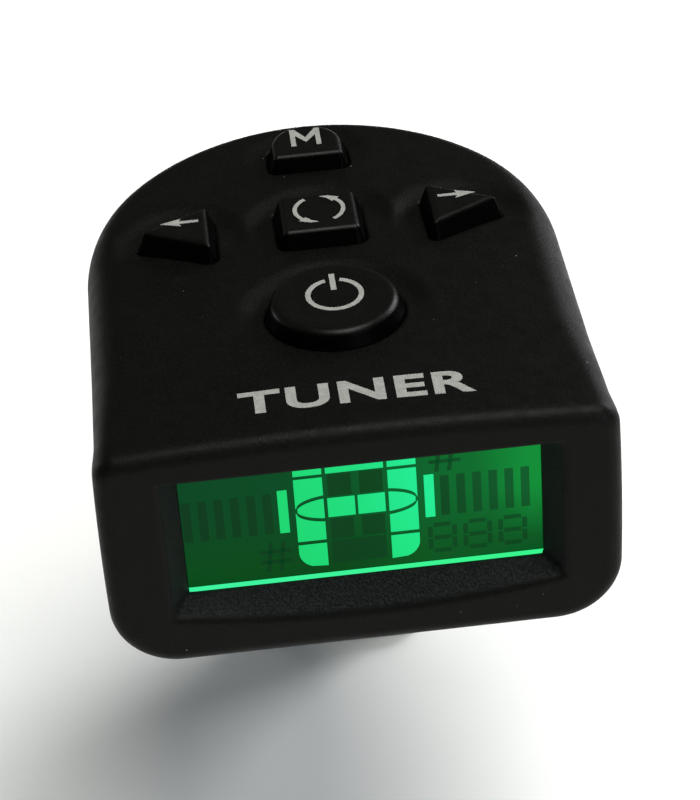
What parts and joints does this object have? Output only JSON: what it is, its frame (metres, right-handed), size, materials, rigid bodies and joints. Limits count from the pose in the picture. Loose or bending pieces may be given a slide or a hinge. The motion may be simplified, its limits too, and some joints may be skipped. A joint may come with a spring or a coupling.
{
  "type": "clip-on tuner",
  "caption": "Small clip-on instrument tuner: a D-shaped head with a lit display and five keys, on a swivel over a ratchet headstock clamp.",
  "frame": {"origin": "centre of the upper clamp pad's contact face, on the swivel axis", "axes": "+Z from the clamp up through the head along the swivel axis; the display faces -Y; +X to the right as the user faces the display"},
  "size_m": [0.028, 0.0432, 0.044],
  "materials": {
    "shell": "fine-grained matte black moulding",
    "keys": "fine-grained black, a little glossier at the edges",
    "clamp": "matte black moulding",
    "pad": "soft matte black rubber",
    "seal": "soft dark grey rubber sheet",
    "display": "smooth, lit green from behind",
    "light_guide": "clear acrylic glowing green",
    "white_plastic": "satin white",
    "ribbon": "amber film with copper lines",
    "board": "green solder mask",
    "chip": "matte black",
    "red_wire": "smooth red insulation",
    "ceramic": "matte off-white with a silvered face",
    "brass": "rolled brass",
    "steel": "nickel-plated or stainless steel"
  },
  "bodies": {
    "clamp": {"clamp_frame": "clamp", "upper_pad": "pad", "bar_end_cap": "clamp", "bar_end_screw": "steel"},
    "head": {"top_shell": "shell", "bottom_cover": "shell", "keypad_seal": "seal", "switch_power": "steel", "switch_mode": "steel", "switch_metronome": "steel", "switch_left": "steel", "switch_right": "steel", "cover_screw_left": "steel", "cover_screw_right": "steel", "board_screw_left": "steel", "board_screw_right": "steel", "lcd_front_glass": "display", "lcd_rear_glass": "display", "light_guide": "light_guide", "backlight_frame": "white_plastic", "backlight_led": "white_plastic", "display_ribbon": "ribbon", "main_board": "board", "controller_chip": "chip", "crystal": "steel", "contact_negative": "steel", "contact_positive": "steel", "piezo_disc": "brass", "piezo_ceramic": "ceramic", "piezo_wire_signal": "red_wire", "piezo_wire_ground": "chip", "swivel_retainer": "steel", "swivel_screw": "steel", "friction_washer": "steel"},
    "power_key": {"key_power": "keys"},
    "mode_key": {"key_mode": "keys"},
    "metronome_key": {"key_metronome": "keys"},
    "left_key": {"key_left": "keys"},
    "right_key": {"key_right": "keys"},
    "tray": {"battery_tray": "shell", "coin_cell": "steel"},
    "foot": {"sliding_foot": "clamp", "lower_pad": "pad", "lever_pin": "steel", "lever_spring": "steel"},
    "lever": {"release_lever": "clamp"}
  },
  "joints": [
    {"name": "head_swivel", "type": "hinge", "parent": "clamp", "child": "head", "pos_m": [0, 0, 0.0042], "axis": [0, 0, 1], "continuous": true},
    {"name": "power_press", "type": "slide", "parent": "head", "child": "power_key", "axis": [0, 0, -1], "range_m": [0, 0.0005]},
    {"name": "mode_press", "type": "slide", "parent": "head", "child": "mode_key", "axis": [0, 0, -1], "range_m": [0, 0.0005]},
    {"name": "metronome_press", "type": "slide", "parent": "head", "child": "metronome_key", "axis": [0, 0, -1], "range_m": [0, 0.0005]},
    {"name": "left_press", "type": "slide", "parent": "head", "child": "left_key", "axis": [0, 0, -1], "range_m": [0, 0.0005]},
    {"name": "right_press", "type": "slide", "parent": "head", "child": "right_key", "axis": [0, 0, -1], "range_m": [0, 0.0005]},
    {"name": "tray_slide", "type": "slide", "parent": "head", "child": "tray", "axis": [0, 1, 0], "range_m": [0, 0.022]},
    {"name": "jaw_slide", "type": "slide", "parent": "clamp", "child": "foot", "axis": [0, 0, 1], "range_m": [-0.0108, 0.0036]},
    {"name": "lever_press", "type": "hinge", "parent": "foot", "child": "lever", "pos_m": [0, 0.0211, -0.0092], "axis": [-1, 0, 0], "range_deg": [0, 14]}
  ]
}
